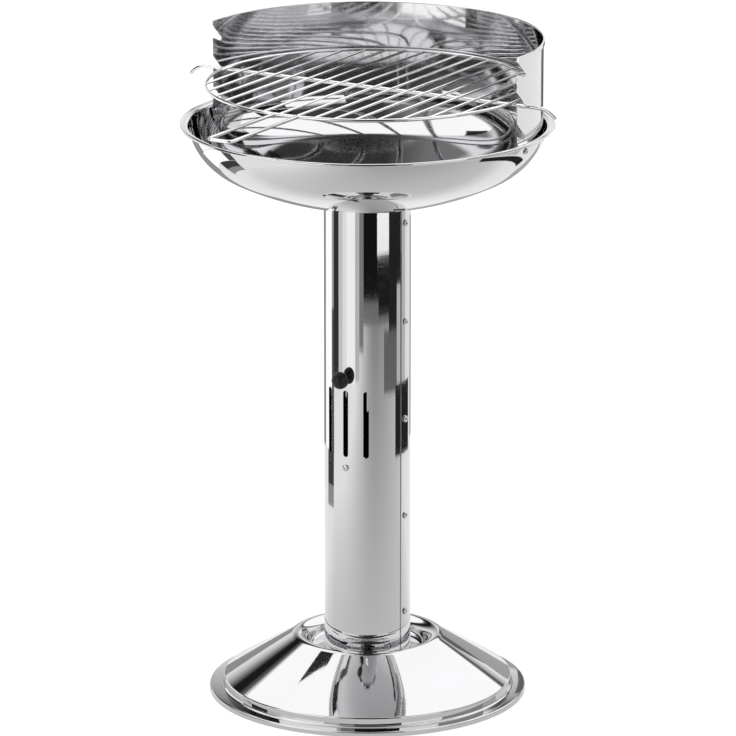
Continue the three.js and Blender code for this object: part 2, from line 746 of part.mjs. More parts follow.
const coalPieces = [
  ringWire(coalRingRadius, coalRingWire, roundSteps).translate(0, 0, coalRingZ),
  ...parallelWires(coalWireCount, coalWirePitch, coalRingRadius, coalWire, coalWireZ),
];
addPiece("charcoal_grate", join(coalPieces), coalWireSteel);

// Cooking grate
const barZ = notchTips[1];
const grateRingZ = hangBar + grateRingWire - weldSink;
const grateWireZ = hangBar + grateWire - weldSink;

// The bar runs straight across and bends down at both ends to half a right angle.
function barEnd(side) {
  const start = new THREE.Vector3(side * (hangBarReach - hangBarEndBend), 0, 0);
  const corner = new THREE.Vector3(side * (hangBarReach - hangBarEndDrop), 0, 0);
  const tip = new THREE.Vector3(side * hangBarReach, 0, -hangBarEndDrop);
  return wireAlong(new THREE.QuadraticBezierCurve3(start, corner, tip), hangBar, arcSteps);
}

const barHalf = hangBarReach - hangBarEndBend + weldSink;
const barRun = straightWire(new THREE.Vector3(-barHalf, 0, 0), new THREE.Vector3(barHalf, 0, 0), hangBar);

// The handle is a wire loop: two legs out of the ring and a crosspiece with rounded corners.
const handleEndY = -handleReach - grateCentreY;
const handleLegEnd = handleEndY + handleCorner;
const handleLegStart = -Math.sqrt(grateRingRadius ** 2 - handleHalfWidth ** 2);

function handleLeg(side) {
  const x = side * handleHalfWidth;
  const from = new THREE.Vector3(x, handleLegStart, grateRingZ);
  return straightWire(from, new THREE.Vector3(x, handleLegEnd - weldSink, grateRingZ), handleWire);
}

function handleCrosspiece() {
  const flat = handleHalfWidth - handleCorner;
  const spot = (x, y) => new THREE.Vector3(x, y, grateRingZ);
  const path = new THREE.CurvePath();
  const bend = (side) => [
    spot(side * handleHalfWidth, handleLegEnd),
    spot(side * handleHalfWidth, handleEndY),
    spot(side * flat, handleEndY),
  ];
  path.add(new THREE.QuadraticBezierCurve3(...bend(-1)));
  path.add(new THREE.LineCurve3(spot(-flat, handleEndY), spot(flat, handleEndY)));
  path.add(new THREE.QuadraticBezierCurve3(...bend(1).reverse()));
  return wireAlong(path, handleWire, 2 * arcSteps);
}

const gratePieces = [
  ringWire(grateRingRadius, grateRingWire, roundSteps).translate(0, 0, grateRingZ),
  ...parallelWires(grateWireCount, grateWirePitch, grateRingRadius, grateWire, grateWireZ),
  barRun,
  barEnd(-1),
  barEnd(1),
  handleLeg(-1),
  handleLeg(1),
  handleCrosspiece(),
];
const cookingGrate = addPiece("cooking_grate", join(gratePieces), chromed);
cookingGrate.position.set(0, grateCentreY, barZ);

// The handle reaches further to the front than the bowl does to the rear.
barbecue.position.y = (handleReach + handleWire - rimRadius) / 2;

export default barbecue;
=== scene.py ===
"""Looks of a polished pedestal barbecue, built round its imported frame."""
import json
import math

import bmesh
import bpy
from mathutils import Matrix, Vector


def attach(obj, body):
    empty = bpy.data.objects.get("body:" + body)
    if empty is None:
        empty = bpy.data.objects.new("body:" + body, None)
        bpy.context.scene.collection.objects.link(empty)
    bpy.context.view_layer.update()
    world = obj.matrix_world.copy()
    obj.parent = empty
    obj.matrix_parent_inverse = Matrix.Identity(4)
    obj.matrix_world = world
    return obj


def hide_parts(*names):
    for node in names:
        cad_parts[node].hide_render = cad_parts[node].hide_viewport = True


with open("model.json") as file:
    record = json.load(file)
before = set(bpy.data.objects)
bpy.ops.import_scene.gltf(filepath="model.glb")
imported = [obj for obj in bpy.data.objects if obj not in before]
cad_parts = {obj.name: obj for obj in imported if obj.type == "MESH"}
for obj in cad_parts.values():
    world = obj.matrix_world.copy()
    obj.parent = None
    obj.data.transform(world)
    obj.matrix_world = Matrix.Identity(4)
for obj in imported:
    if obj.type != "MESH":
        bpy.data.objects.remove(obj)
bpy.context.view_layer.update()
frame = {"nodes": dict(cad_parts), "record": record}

MM = 0.001
DEGREE = math.pi / 180

# Sizes of the barbecue are in millimetres, and those of the camera and the studio in metres

# How far the column stands behind the origin
AXIS_Y = 56

# Base
BASE_SHEET = 1.2
BASE_RADIUS = 185.8
BASE_LIP_HEIGHT = 6
BASE_LIP_CORNER = 1.6
BASE_LIP_INNER = 0.25
STEP_RADIUS = 169
STEP_HEIGHT = 11
STEP_CORNER = 2.4
CONE_TILT = 31.6 * DEGREE
CREST_RADIUS = 13.6
CREST_TOP = 68
WELL_FLOOR = CREST_TOP - 17
WELL_CORNER = 5
BASE_HOLE = 30

# Column
SEAT_GAP = 0.3
COLUMN_SHEET = 1
COLUMN_RADIUS = 50.5
COLUMN_BOTTOM = WELL_FLOOR + SEAT_GAP
COLUMN_TOP = 589.2
LAP_HALF = 7.6
LAP_STEP = 1.8
LAP_EDGE_GAP = 0.5
SEAM_COUNT = 5
SEAM_TOP = COLUMN_TOP - 20.2
SEAM_PITCH = (SEAM_TOP - COLUMN_BOTTOM - 49.7) / (SEAM_COUNT - 1)
TAB_WIDTH = 18
TAB_REACH = 16
TAB_BOLT_RADIUS = COLUMN_RADIUS - 9
TAB_ANGLES = [a * DEGREE for a in (-45, 45, 135, 225)]

# Damper
VENT_ANGLES = [a * DEGREE for a in (-28.3, 0, 28.3)]
VENT_WIDTH = 6.6
VENT_BOTTOM = 294
VENT_TOP = VENT_BOTTOM + 80
KNOB_HEIGHT = VENT_TOP + 15
GUIDE_HEIGHT = VENT_BOTTOM - 13
GUIDE_NUT_GAP = 0.4
GUIDE_SLOT_HALF = 2.4
DAMPER_TURN = 14 * DEGREE
DAMPER_OUTER = COLUMN_RADIUS - 1.4
DAMPER_SHEET = 0.8
DAMPER_EDGE = 7
STUD_RADIUS = 2.4
STUD_PLAY = 0.4
STUD_HEAD = 4.2
STUD_RISE = 1.6
STUD_BEVEL = (0.5, 0.4)
STUD_SINK = 0.5
KNOB_RADIUS = 10
KNOB_FOOT = COLUMN_RADIUS + 1.2
KNOB_NECK_RADIUS = 5
KNOB_NECK = 2.5
KNOB_NECK_STEP = 0.4
KNOB_NECK_BLEND = 0.05
KNOB_BEVEL = 0.5

# Bowl
BOWL_SHEET = 1
BOWL_SEAT = COLUMN_TOP + SEAT_GAP
SEAT_RADIUS = 57
FLUE_RADIUS = 27
CROWN = 367
KNUCKLE = 80.4
KNUCKLE_CENTRE = 128.5
WALL_LEAN = 12.5 * DEGREE
RIM_FILLET = 3
RIM_RADIUS = KNUCKLE_CENTRE + (KNUCKLE + RIM_FILLET) * math.cos(WALL_LEAN) + 6.1
RIM_BEAD = 1.9
CROWN_Z = BOWL_SEAT + math.sqrt(CROWN ** 2 - SEAT_RADIUS ** 2)
KNUCKLE_Z = CROWN_Z - math.sqrt((CROWN - KNUCKLE) ** 2 - KNUCKLE_CENTRE ** 2)

# Wind shield
SHIELD_SHEET = 1
SHIELD_FRONT = -11
SHIELD_INSET = 2.9
HEM_HEIGHT = 5.5
HEM_FOLD = 1.6
HEM_STEP = 0.1
HEM_CORNER = 0.7
NOTCH_MOUTH = 16.2
NOTCH_SLOPE = 21 * DEGREE
NOTCH_END = 2.6
SHIELD_TABS = {"right": 91 * DEGREE, "left": -91 * DEGREE, "rear": math.pi}
SHIELD_TAB_BEND = 13 * DEGREE
SHIELD_TAB_FOOT = 24.5 * DEGREE
SHIELD_TAB_SCREW = 18 * DEGREE
SHIELD_SLIT = 1.5
TAB_JOIN = 0.02
TAB_OUTER = KNUCKLE - BOWL_SHEET - SEAT_GAP - RIM_RADIUS * (1 - math.cos(math.pi / 36))
TAB_BEND_Z = KNUCKLE_Z - TAB_OUTER * math.sin(SHIELD_TAB_BEND)
TAB_ROOT_Z = TAB_BEND_Z + SHIELD_INSET
SHIELD_RADIUS = KNUCKLE_CENTRE + TAB_OUTER * math.cos(SHIELD_TAB_BEND) - SHIELD_INSET
SHIELD_BOTTOM = TAB_BEND_Z - 8.2
SHIELD_TOP = SHIELD_BOTTOM + 112
SHIELD_TAB_HALF = 14 / SHIELD_RADIUS
NOTCH_TIPS = [SHIELD_BOTTOM + 16 + 36 * i for i in range(3)]
BAR_Z = NOTCH_TIPS[1]

# Grates
GRATE_Y = 6
BAR_RADIUS = 2.25
BAR_REACH = 242
BAR_BEND = 20
BAR_DROP = 10
RING_RADIUS = 189
RING_WIRE = 2
GRATE_WIRE = 1.5
GRATE_COUNT = 18
GRATE_PITCH = 22
HANDLE_HALF = 15
HANDLE_REACH = 326
HANDLE_CORNER = 7
WELD_SINK = 0.6
ROD_OVERLAP = 0.4
COAL_RING = 103
COAL_WIRE = 1.75
COAL_COUNT = 11
COAL_PITCH = 17

# Screws: shank, head, head height, nut across flats, nut height, tail
SMALL = dict(shank=2, head=3.9, rise=2.2, flat=7, nut=3.2, tail=1)
LARGE = dict(shank=2.5, head=4.8, rise=2.8, flat=8, nut=4, tail=1.2)
THREAD_PITCH = 0.7
NUT_PLAY = 0.3
HEAD_BEVEL = 0.12
BORE_BAND = 0.1

# Shares of a screw's sizes: the recess by the shank and the head's height, the thread by the shank,
# the bare part by the grip, and the seat and the chamfer by the head or the nut
RECESS = [(0, 0.28), (0.28, 0.308), (0.62, 0.985)]
CROWN_START = 4
HEAD_EDGE = 0.35
HEAD_ROUNDNESS = 0.8
THREAD_ROOT = 0.86
THREAD_TIP = 0.7
BARE_SHANK = 0.4
SEAT_FACE = 0.97
NUT_CHAMFER = 0.09

# Facets of the round forms, and of a wire with its rounded ends
BASE_FACETS = 288
BOWL_FACETS = 320
SHIELD_FACETS = 220
TAB_FACETS = 10
KNOB_FACETS = 48
STUD_FACETS = 24
SCREW_FACETS = 20
NUT_FACETS = 48
RING_FACETS = 144
COAL_FACETS = 96
SHEET_FACET = 1.5 * DEGREE
LAP_FACET = 0.18 * DEGREE
WIRE_SIDES = 14
END_INWARD = 0.3
END_EDGE = 0.86

# Edges sharper than this stay sharp, and points closer than this, in metres, merge
SMOOTH = 32 * DEGREE
MERGE = 1e-6

# How nearly a face has to match the exact normal of its curved sheet to get it, as a cosine
COLUMN_MATCH = 0.95
SHIELD_MATCH = 0.995

# Cutters run through the column's sheet, and overshoot the wind shield by a margin
COLUMN_CUT = (42, 56)
CUT_MARGIN = 3


# Geometry helpers, all in millimetres from the column axis

def metres(p):
    return Vector((p[0] * MM, (p[1] + AXIS_Y) * MM, p[2] * MM))


def plan(radius, angle):
    return radius * math.sin(angle), -radius * math.cos(angle)


def arc(cr, cz, radius, start, end, steps):
    turns = [start + (end - start) * i / steps for i in range(steps + 1)]
    return [(cr + radius * math.cos(t), cz + radius * math.sin(t)) for t in turns]


def bend(start, corner, end, steps):
    """Points of a smooth curve between two points that leans towards a corner."""
    shares = [i / steps for i in range(steps + 1)]
    return [start * (1 - t) ** 2 + corner * 2 * t * (1 - t) + end * t * t for t in shares]


def soften(mesh):
    mesh.polygons.foreach_set("use_smooth", [True] * len(mesh.polygons))
    mesh.set_sharp_from_angle(angle=SMOOTH)
    mesh.update()


def finish_mesh(name, verts, faces, merge=True):
    mesh = bpy.data.meshes.new(name)
    mesh.from_pydata([metres(v) for v in verts], [], faces)
    bm = bmesh.new()
    bm.from_mesh(mesh)
    if merge:
        bmesh.ops.remove_doubles(bm, verts=bm.verts, dist=MERGE)
    bmesh.ops.recalc_face_normals(bm, faces=bm.faces)
    bm.to_mesh(mesh)
    bm.free()
    soften(mesh)
    piece = bpy.data.objects.new(name, mesh)
    bpy.context.scene.collection.objects.link(piece)
    return piece


def lathe_data(profile, steps, start=0.0, end=2 * math.pi):
    """Vertices and faces of a closed profile of (radius, height) swept about the axis."""
    full = math.isclose(end - start, 2 * math.pi)
    rings = steps if full else steps + 1
    count = len(profile)
    verts = []
    for i in range(rings):
        angle = start + (end - start) * i / steps
        for r, z in profile:
            verts.append((*plan(r, angle), z))
    faces = []
    for i in range(steps):
        a, b = i * count, ((i + 1) % rings) * count
        for j in range(count):
            k = (j + 1) % count
            faces.append((a + j, a + k, b + k, b + j))
    if not full:
        faces.append(tuple(range(count)))
        faces.append(tuple(range(steps * count, steps * count + count)))
    return verts, faces


def spun_data(profile, steps):
    """A profile that starts and ends on the axis, swept through a full turn."""
    verts, faces = [], []
    inner = profile[1:-1]
    count = len(inner)
    for i in range(steps):
        angle = 2 * math.pi * i / steps
        for r, z in inner:
            verts.append((*plan(r, angle), z))
    low, high = len(verts), len(verts) + 1
    verts += [(0, 0, profile[0][1]), (0, 0, profile[-1][1])]
    for i in range(steps):
        a, b = i * count, ((i + 1) % steps) * count
        for j in range(count - 1):
            faces.append((a + j, a + j + 1, b + j + 1, b + j))
        faces.append((low, a, b))
        faces.append((high, b + count - 1, a + count - 1))
    return verts, faces


def join_data(*parts):
    verts, faces = [], []
    for v, f in parts:
        base = len(verts)
        verts += v
        faces += [tuple(base + i for i in face) for face in f]
    return verts, faces


def prism_data(low, high):
    """Two outlines of equally many points, joined by walls and capped."""
    n = len(low)
    walls = [(i, (i + 1) % n, n + (i + 1) % n, n + i) for i in range(n)]
    return [*low, *high], walls + [tuple(range(n - 1, -1, -1)), tuple(range(n, 2 * n))]


def sheet_data(angles, radius_at, sheet, low, high):
    """An upright sheet round the axis, from a lower to an upper height."""
    outer = [plan(radius_at(a), a) for a in angles]
    inner = [plan(radius_at(a) - sheet, a) for a in angles]
    outline = outer + inner[::-1]
    return prism_data([(x, y, low) for x, y in outline], [(x, y, high) for x, y in outline])


def tube_data(points, radius, closed=False):
    """A round wire along points. Its ends are rounded off within its length unless it is closed."""
    pts = [Vector(p) for p in points]
    n = len(pts)
    tangents = []
    for i in range(n):
        before = pts[(i - 1) % n] if closed or i > 0 else pts[i]
        after = pts[(i + 1) % n] if closed or i < n - 1 else pts[i]
        tangents.append((after - before).normalized())
    side = tangents[0].cross(Vector((0, 0, 1))).normalized()
    rings = []
    for i in range(n):
        if i:
            side = tangents[i - 1].rotation_difference(tangents[i]) @ side
        up = side.cross(tangents[i]).normalized()
        rings.append((pts[i], side.copy(), up, radius))
    if not closed:
        inward, edge = END_INWARD * radius, END_EDGE * radius
        p, s, u, _ = rings[0]
        rings[0] = (p + tangents[0] * inward, s, u, radius)
        rings.insert(0, (p, s, u, edge))
        p, s, u, _ = rings[-1]
        rings[-1] = (p - tangents[-1] * inward, s, u, radius)
        rings.append((p, s, u, edge))
    verts = []
    for p, s, u, r in rings:
        for k in range(WIRE_SIDES):
            t = 2 * math.pi * k / WIRE_SIDES
            verts.append(tuple(p + (s * math.cos(t) + u * math.sin(t)) * r))
    faces = []
    m = len(rings)
    for i in range(m if closed else m - 1):
        a, b = i * WIRE_SIDES, ((i + 1) % m) * WIRE_SIDES
        for k in range(WIRE_SIDES):
            q = (k + 1) % WIRE_SIDES
            faces.append((a + k, a + q, b + q, b + k))
    if not closed:
        faces.append(tuple(range(WIRE_SIDES)))
        faces.append(tuple(range((m - 1) * WIRE_SIDES, m * WIRE_SIDES)))
    return verts, faces


def box_data(centre, half, turn):
    """A box with its half sizes along a radial, a tangential and the upright direction."""
    corners = [(sx, sy, sz) for sx in (-1, 1) for sy in (-1, 1) for sz in (-1, 1)]
    out, along = plan(1, turn), plan(1, turn + math.pi / 2)
    verts = []
    for sx, sy, sz in corners:
        r, t = sx * half[0], sy * half[1]
        verts.append((centre[0] + out[0] * r + along[0] * t,
                      centre[1] + out[1] * r + along[1] * t, centre[2] + sz * half[2]))
    faces = [(0, 1, 3, 2), (4, 6, 7, 5), (0, 4, 5, 1), (2, 3, 7, 6), (0, 2, 6, 4), (1, 5, 7, 3)]
    return verts, faces


def carve(piece, cutters):
    """The piece's mesh less the cutters, which are deleted."""
    for cutter in cutters:
        change = piece.modifiers.new("cut", "BOOLEAN")
        change.operation = "DIFFERENCE"
        change.solver = "EXACT"
        change.object = cutter
    graph = bpy.context.evaluated_depsgraph_get()
    mesh = bpy.data.meshes.new_from_object(piece.evaluated_get(graph))
    old = piece.data
    piece.modifiers.clear()
    piece.data = mesh
    bpy.data.meshes.remove(old)
    for cutter in cutters:
        bpy.data.objects.remove(cutter, do_unlink=True)
    soften(mesh)
    return piece


def true_round(piece, normal_at, limit):
    """Gives the faces on a curved sheet its exact normals, so that it mirrors cleanly."""
    mesh = piece.data
    now = [n.vector.copy() for n in mesh.corner_normals]
    for face in mesh.polygons:
        for i in face.loop_indices:
            co = mesh.vertices[mesh.loops[i].vertex_index].co
            exact = normal_at(co.x / MM, co.y / MM - AXIS_Y)
            match = face.normal.dot(exact)
            if abs(match) > limit:
                now[i] = exact if match > 0 else -exact
    mesh.normals_split_custom_set([tuple(n) for n in now])


def radial_normal(x, y):
    return Vector((x, y, 0)).normalized()


def place(piece, point, direction):
    """Turns a piece made about the column axis at height zero to stand on a point."""
    spin = Vector((0, 0, 1)).rotation_difference(Vector(direction)).to_matrix().to_4x4()
    home = Matrix.Translation(-metres((0, 0, 0)))
    piece.data.transform(Matrix.Translation(metres(point)) @ spin @ home)
    return piece


# Materials. A noise's scale counts features per metre, and depths are in millimetres.

METAL_TINTS = ((0.965, 0.965, 0.965), (1.02, 1.02, 1.035))
METAL_SHEEN = (0.5, 1.5)
HAZE_RANGE = (0.12, 0.42)
WAVE_DETAIL = 1.0
WIPE = {"Scale": 60.0, "Detail": 5.0}
WIPE_SQUEEZE = 9.0
GRIT = {"Scale": 420.0, "Detail": 4.0, "Roughness": 0.6}
GRIT_STRENGTH = 0.03
GRIT_DEPTH = 0.02
PLASTIC_TINTS = ((0.8, 0.8, 0.8), (1.25, 1.25, 1.25))
PLASTIC_SHEEN = (0.8, 1.2)
PLASTIC_COAT = {"Coat Weight": 0.12, "Coat Roughness": 0.12, "Specular IOR Level": 0.25}
CLOUD = {"Scale": 90.0, "Detail": 2.0}
GRAIN = {"Scale": 1500.0, "Detail": 3.0}
GRAIN_STRENGTH = 0.15
GRAIN_DEPTH = 0.05

# Colour sockets of a Mix node
MIX_COLOURS, MIX_RESULT = (6, 7), 2


class Nodes:
    """Adds shader nodes to a tree, with their values and links."""

    def __init__(self, tree):
        self.tree = tree
        tree.nodes.clear()

    def add(self, kind, values=(), **settings):
        node = self.tree.nodes.new(kind)
        for key, value in settings.items():
            setattr(node, key, value)
        for key, value in dict(values).items():
            if isinstance(value, bpy.types.NodeSocket):
                self.tree.links.new(value, node.inputs[key])
            else:
                node.inputs[key].default_value = value
        return node

    def maths(self, operation, first, second):
        return self.add("ShaderNodeMath", {0: first, 1: second}, operation=operation).outputs[0]

    def remap(self, value, source, target=(0.0, 1.0)):
        """A value mapped from one range to another, and kept within it."""
        ends = dict(zip(("From Min", "From Max", "To Min", "To Max"), (*source, *target)))
        return self.add("ShaderNodeMapRange", {"Value": value, **ends}).outputs[0]

    def noise(self, where, values):
        return self.add("ShaderNodeTexNoise", {"Vector": where, **values}).outputs["Fac"]

    def tint(self, factor, colour, shares):
        """A colour that varies between two shares of itself."""
        node = self.add("ShaderNodeMix", {"Factor": factor}, data_type="RGBA")
        for socket, share in zip(MIX_COLOURS, shares):
            scaled = [min(c * s, 1) for c, s in zip(colour, share)]
            node.inputs[socket].default_value = (*scaled, 1)
        return node.outputs[MIX_RESULT]

    def split(self, plain, mirrored):
        """One shader for the eye and the light, and another one for reflections."""
        glossy = self.add("ShaderNodeLightPath").outputs["Is Glossy Ray"]
        return self.add("ShaderNodeMixShader",
                        {0: glossy, 1: plain.outputs[0], 2: mirrored.outputs[0]})

    def surface(self, shader, kind="ShaderNodeOutputMaterial"):
        self.add(kind, {0: shader.outputs[0]})


def node_material(name):
    material = bpy.data.materials.new(name)
    material.use_nodes = True
    return material, Nodes(material.node_tree)


def polished_metal(name, colour, rough, wave, wave_size):
    """Faint waves of the sheet, a haze of fine wipe marks and a slight tint."""
    material, n = node_material(name)
    where = n.add("ShaderNodeTexCoord").outputs["Object"]
    squeezed = n.add("ShaderNodeMapping", {"Vector": where, "Scale": (1.0, 1.0, WIPE_SQUEEZE)})
    broad = n.noise(where, {"Scale": 1 / (wave_size * MM), "Detail": WAVE_DETAIL})
    fine = n.noise(where, GRIT)
    wipe = n.noise(squeezed.outputs[0], WIPE)
    haze = n.maths("MULTIPLY", wipe, fine)
    swell = n.add("ShaderNodeBump", {"Height": broad, "Strength": 1.0, "Distance": wave * MM})
    grit = n.add("ShaderNodeBump", {"Height": fine, "Strength": GRIT_STRENGTH,
                                    "Distance": GRIT_DEPTH * MM, "Normal": swell.outputs[0]})
    n.surface(n.add("ShaderNodeBsdfPrincipled", {
        "Metallic": 1.0,
        "Base Color": n.tint(broad, colour, METAL_TINTS),
        "Roughness": n.remap(haze, HAZE_RANGE, [rough * share for share in METAL_SHEEN]),
        "Normal": grit.outputs[0],
    }))
    return material


def moulded_plastic(name, colour, rough):
    """Hard moulded plastic with a fine grain and a faintly uneven sheen."""
    material, n = node_material(name)
    where = n.add("ShaderNodeTexCoord").outputs["Object"]
    grain = n.noise(where, GRAIN)
    cloud = n.noise(where, CLOUD)
    bump = n.add("ShaderNodeBump", {"Height": grain, "Strength": GRAIN_STRENGTH,
                                    "Distance": GRAIN_DEPTH * MM})
    n.surface(n.add("ShaderNodeBsdfPrincipled", {
        "Base Color": n.tint(cloud, colour, PLASTIC_TINTS),
        "Roughness": n.remap(cloud, (0.0, 1.0), [rough * share for share in PLASTIC_SHEEN]),
        "Normal": bump.outputs[0],
        **PLASTIC_COAT,
    }))
    return material


# Colour and roughness, and for metal the depth and the size of the waves. The thin shield has a
# finish of its own.
FINISHES = {
    "polished_steel": polished_metal("polished_steel", (0.70, 0.70, 0.705), 0.045, 0.05, 70),
    "chromed_wire": polished_metal("chromed_wire", (0.9, 0.9, 0.905), 0.12, 0.02, 20),
    "grate_steel": polished_metal("grate_steel", (0.52, 0.525, 0.53), 0.26, 0.03, 15),
    "zinc_steel": polished_metal("zinc_steel", (0.66, 0.665, 0.67), 0.17, 0.02, 6),
    "black_plastic": moulded_plastic("black_plastic", (0.005, 0.005, 0.0055), 0.42),
}
SHIELD_FINISH = polished_metal("polished_sheet", (0.70, 0.70, 0.705), 0.07, 0.11, 45)


def dress(piece, body, nodes, slot, material=None):
    """Gives a piece its body, the nodes that it stands for and its finish."""
    piece.data.materials.clear()
    piece.data.materials.append(material or FINISHES[slot])
    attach(piece, body)
    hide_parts(*nodes)


# Base

def base_side(inset):
    """The outline of one side of the base's sheet, from the hole to the edge of the lip."""
    crest_z = CREST_TOP - CREST_RADIUS
    step_top = BASE_LIP_HEIGHT + STEP_HEIGHT
    drop = crest_z + CREST_RADIUS * math.cos(CONE_TILT) - step_top
    crest_r = STEP_RADIUS - drop / math.tan(CONE_TILT) - CREST_RADIUS * math.sin(CONE_TILT)
    wall = crest_r - CREST_RADIUS
    cone = math.pi / 2 - CONE_TILT
    knee_z = step_top - STEP_CORNER * math.tan(cone / 2)
    lip_r, lip_z = BASE_RADIUS - BASE_LIP_CORNER, BASE_LIP_HEIGHT - BASE_LIP_CORNER
    lip_corner = max(BASE_LIP_CORNER - inset, BASE_LIP_INNER)
    return [
        (BASE_HOLE, WELL_FLOOR - inset),
        *arc(wall - WELL_CORNER, WELL_FLOOR + WELL_CORNER, WELL_CORNER + inset,
             -math.pi / 2, 0, 10),
        *arc(crest_r, crest_z, CREST_RADIUS - inset, math.pi, cone, 28),
        *arc(STEP_RADIUS - STEP_CORNER, knee_z, STEP_CORNER - inset, cone, 0, 8),
        *arc(STEP_RADIUS + STEP_CORNER, BASE_LIP_HEIGHT + STEP_CORNER, STEP_CORNER + inset,
             math.pi, 1.5 * math.pi, 10),
        *arc(lip_r, lip_z, lip_corner, math.pi / 2, 0, 6),
        (BASE_RADIUS - inset, 0),
    ]


base_profile = base_side(0) + base_side(BASE_SHEET)[::-1]
base = finish_mesh("base", *lathe_data(base_profile, BASE_FACETS), merge=False)
dress(base, "stand", ["base_foot"], "polished_steel")


# Column

REAR_EDGE = math.pi / 2 - LAP_HALF / COLUMN_RADIUS
LIP_END = math.pi / 2 + LAP_HALF / COLUMN_RADIUS
STEP_END = REAR_EDGE - LAP_EDGE_GAP / COLUMN_RADIUS
STEP_START = STEP_END - LAP_STEP / COLUMN_RADIUS
LAP_DROP = COLUMN_SHEET + SEAT_GAP


def front_radius(angle):
    """The front shell's radius, which drops by a smooth step under the rear shell's edge."""
    share = (abs(angle) - STEP_START) / (STEP_END - STEP_START)
    share = min(max(share, 0), 1)
    return COLUMN_RADIUS - LAP_DROP * share * share * (3 - 2 * share)


def column_radius(_angle):
    return COLUMN_RADIUS


def damper_radius(_angle):
    return DAMPER_OUTER


def spread(start, end, step):
    count = max(1, round((end - start) / step))
    return [start + (end - start) * i / count for i in range(count + 1)]


def front_angles():
    half = [*spread(0, STEP_START, SHEET_FACET), *spread(STEP_START, STEP_END, LAP_FACET)[1:],
            *spread(STEP_END, LIP_END, SHEET_FACET)[1:]]
    return [-a for a in half[:0:-1]] + half


def end_tab(angle, low):
    out = COLUMN_RADIUS - COLUMN_SHEET / 2 - TAB_REACH / 2
    half = (TAB_REACH / 2, TAB_WIDTH / 2, COLUMN_SHEET / 2)
    return box_data((*plan(out, angle), low + COLUMN_SHEET / 2), half, angle)


def upright_slot(angle):
    """Cutter for an air slot with round ends, cut square to the column."""
    half = VENT_WIDTH / 2
    outline = [*arc(0, VENT_TOP - half, half, 0, math.pi, 16),
               *arc(0, VENT_BOTTOM + half, half, math.pi, 2 * math.pi, 16)]
    out, along = plan(1, angle), plan(1, angle + math.pi / 2)
    rings = [[(out[0] * reach + along[0] * a, out[1] * reach + along[1] * a, z)
              for a, z in outline] for reach in COLUMN_CUT]
    return finish_mesh("slot", *prism_data(*rings))


def level_slot(half, start, end, height):
    """Cutter for a slot that runs round the column, with round ends."""
    turn = half / COLUMN_RADIUS
    outline = [(centre + turn * c, height + half * s)
               for centre, first in ((end, -math.pi / 2), (start, math.pi / 2))
               for c, s in arc(0, 0, 1, first, first + math.pi, 12)]
    rings = [[(*plan(reach, a), z) for a, z in outline] for reach in COLUMN_CUT]
    return finish_mesh("slot", *prism_data(*rings))


def front_normal(x, y):
    angle = math.atan2(x, -y)
    tiny = 1e-4
    slope = (front_radius(angle + tiny) - front_radius(angle - tiny)) / (2 * tiny)
    out, along = plan(1, angle), plan(1, angle + math.pi / 2)
    lean = slope / front_radius(angle)
    return Vector((out[0] - along[0] * lean, out[1] - along[1] * lean, 0)).normalized()


column_size = (COLUMN_SHEET, COLUMN_BOTTOM, COLUMN_TOP)
front = finish_mesh("column_front", *sheet_data(front_angles(), front_radius, *column_size))
cutters = [upright_slot(a) for a in VENT_ANGLES]
cutters.append(level_slot(STUD_RADIUS + STUD_PLAY, -DAMPER_TURN, 0, KNOB_HEIGHT))
true_round(carve(front, cutters), front_normal, COLUMN_MATCH)
dress(front, "stand", ["column_front_shell"], "polished_steel")

rear_angles = spread(REAR_EDGE, 2 * math.pi - REAR_EDGE, SHEET_FACET)
rear = finish_mesh("column_rear", *sheet_data(rear_angles, column_radius, *column_size))
true_round(rear, radial_normal, COLUMN_MATCH)
dress(rear, "stand", ["column_rear_shell"], "polished_steel")

for i, angle in enumerate(TAB_ANGLES):
    for end, low in (("low", COLUMN_BOTTOM), ("top", COLUMN_TOP - COLUMN_SHEET)):
        tab = finish_mesh(f"column_tab_{end}_{i + 1}", *end_tab(angle, low))
        owner = "column_front_shell" if i < 2 else "column_rear_shell"
        dress(tab, "stand", [owner], "polished_steel")


# Screws

def screw_data(size, grip):
    """A pan head over a shank, its seat at height zero."""
    head, rise, shank = size["head"], size["rise"], size["shank"]
    length = grip + size["nut"] + size["tail"]
    crown = [(head * s ** HEAD_ROUNDNESS, rise * (HEAD_EDGE + (1 - HEAD_EDGE) * c))
             for s, c in arc(0, 0, 1, math.pi / 2, 0, 12)]
    profile = [*[(shank * r, rise * z) for r, z in RECESS], *crown[CROWN_START:],
               (head, HEAD_BEVEL), (head * SEAT_FACE, 0), (shank, 0)]
    thread = -grip * BARE_SHANK
    for i in range(int((length + thread) / THREAD_PITCH)):
        z = thread - i * THREAD_PITCH
        profile += [(shank, z), (shank * THREAD_ROOT, z - THREAD_PITCH / 2)]
    profile += [(shank * THREAD_TIP, -length), (0, -length)]
    return spun_data(profile, SCREW_FACETS)


def nut_data(size):
    """A hexagon nut with chamfered corners, its seat at height zero and its body below."""
    flat, height = size["flat"] / 2, size["nut"]
    bore, chamfer = size["shank"] + NUT_PLAY, NUT_CHAMFER * size["flat"]
    corner = flat / math.cos(math.pi / 6)
    profile = [(bore, 0), (flat * SEAT_FACE, 0), (corner, -chamfer), (corner, -height + chamfer),
               (flat * SEAT_FACE, -height), (bore, -height)]
    verts, faces = lathe_data(profile, NUT_FACETS)
    shaped = []
    for x, y, z in verts:
        r, t = math.hypot(x, y), math.atan2(y, x)
        inside = (t % (math.pi / 3)) - math.pi / 6
        limit = flat / math.cos(inside)
        k = min(1, limit / r) if r > bore + BORE_BAND else 1
        shaped.append((x * k, y * k, z))
    return shaped, faces


def add_fixing(node, data, point, direction):
    piece = place(finish_mesh(node + "_look", *data, merge=False), point, direction)
    dress(piece, "stand", [node], "zinc_steel")


